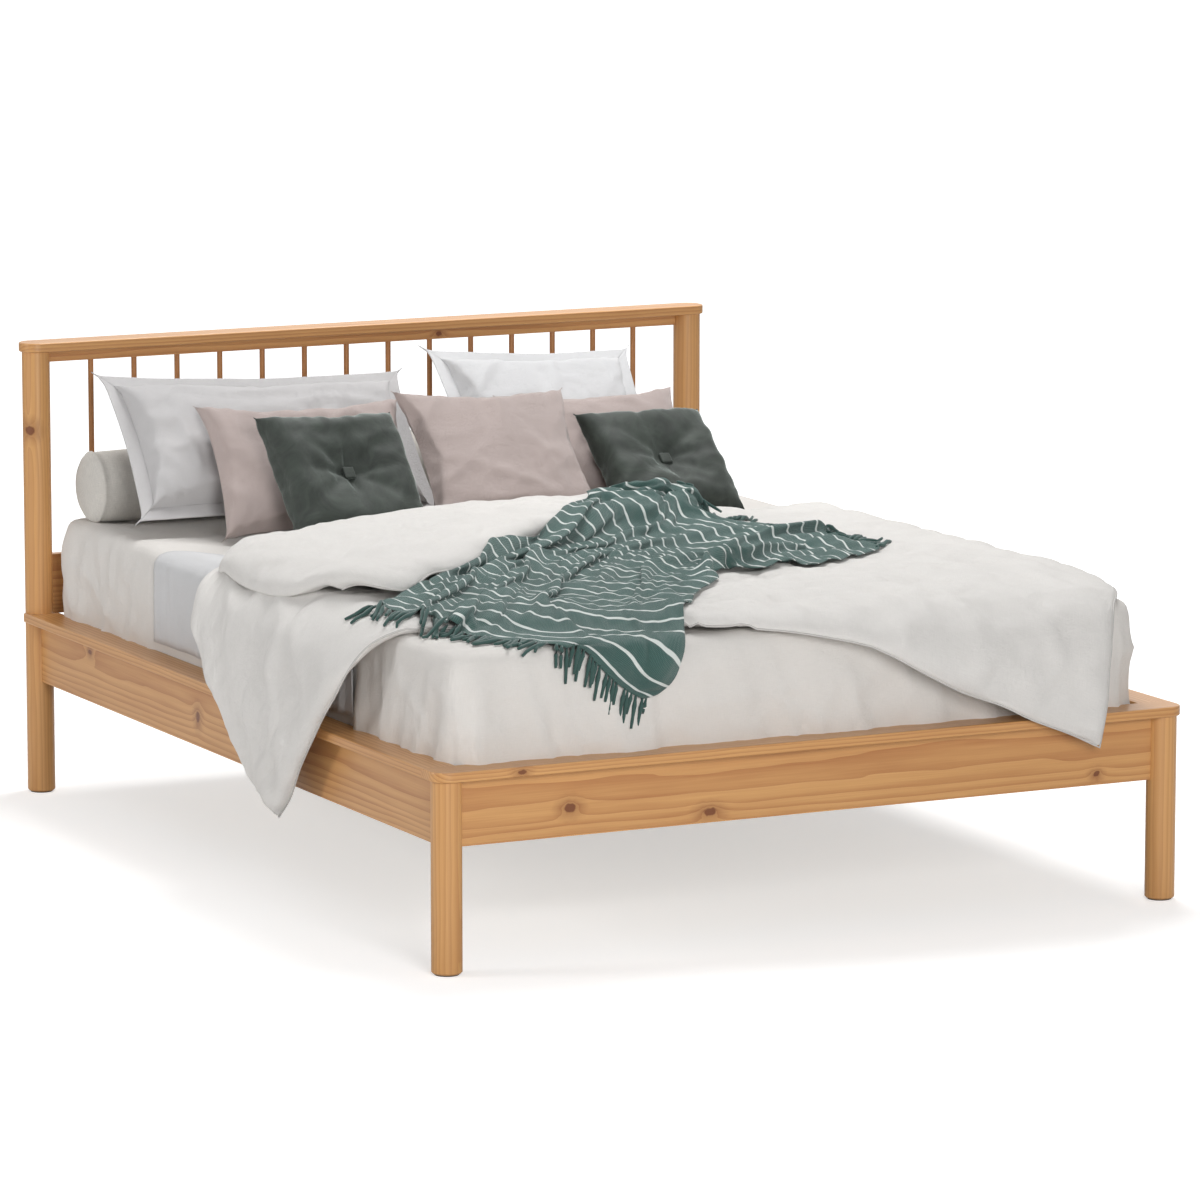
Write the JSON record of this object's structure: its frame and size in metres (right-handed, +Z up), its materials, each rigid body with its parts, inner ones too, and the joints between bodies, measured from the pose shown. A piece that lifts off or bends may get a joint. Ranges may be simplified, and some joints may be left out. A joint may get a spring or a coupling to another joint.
{
  "type": "spindle bed",
  "caption": "King-size pine bed with a spindle headboard and slatted base, dressed with mattress, sheets, duvet, pillows, cushions and a fringed throw.",
  "frame": {"origin": "on the floor, midway between the four corner legs", "axes": "+X to the right as seen from the foot, +Y from foot to head, +Z up"},
  "size_m": [1.696, 2.188, 0.985],
  "materials": {
    "pine": "satin lacquer",
    "plain_pine": "planed",
    "steel": "zinc",
    "felt": "felt",
    "ticking": "woven",
    "grey_cotton": "cotton percale",
    "white_cotton": "cotton percale",
    "heathered_wool": "heathered",
    "pale_cotton": "cotton percale",
    "mauve_sateen": "sateen",
    "green_velvet": "velvet",
    "duvet_linen": "washed linen",
    "striped_weave": "loose weave"
  },
  "bodies": {
    "root": {"beam_hangers": "steel", "bolster": "heathered_wool", "bracket_screws": "steel", "cap_dowels": "plain_pine", "centre_beam": "plain_pine", "centre_leg": "plain_pine", "centre_leg_stud": "steel", "corner_bracket_back_left": "steel", "corner_bracket_back_right": "steel", "corner_bracket_front_left": "steel", "corner_bracket_front_right": "steel", "cushion_button_left": "green_velvet", "cushion_button_right": "green_velvet", "duvet": "duvet_linen", "felt_glides": "felt", "fitted_sheet": "grey_cotton", "flat_sheet": "white_cotton", "foot_cap": "pine", "foot_rail": "pine", "head_rail": "pine", "headboard_cap": "pine", "headboard_lower_rail": "pine", "headboard_top_rail": "pine", "ledger_screws": "steel", "leg_bolts": "steel", "leg_front_left": "pine", "leg_front_right": "pine", "mattress": "ticking", "mauve_pillow_centre": "mauve_sateen", "mauve_pillow_left": "mauve_sateen", "mauve_pillow_right": "mauve_sateen", "oxford_pillow_left": "pale_cotton", "oxford_pillow_right": "white_cotton", "post_back_left": "pine", "post_back_right": "pine", "side_cap_left": "pine", "side_cap_right": "pine", "side_rail_left": "pine", "side_rail_right": "pine", "slat_ledger_left": "plain_pine", "slat_ledger_right": "plain_pine", "slat_screws": "steel", "slats": "plain_pine", "spindle_01": "pine", "spindle_02": "pine", "spindle_03": "pine", "spindle_04": "pine", "spindle_05": "pine", "spindle_06": "pine", "spindle_07": "pine", "spindle_08": "pine", "spindle_09": "pine", "spindle_10": "pine", "spindle_11": "pine", "spindle_12": "pine", "spindle_13": "pine", "spindle_14": "pine", "throw": "striped_weave", "velvet_cushion_left": "green_velvet", "velvet_cushion_right": "green_velvet"}
  },
  "joints": []
}
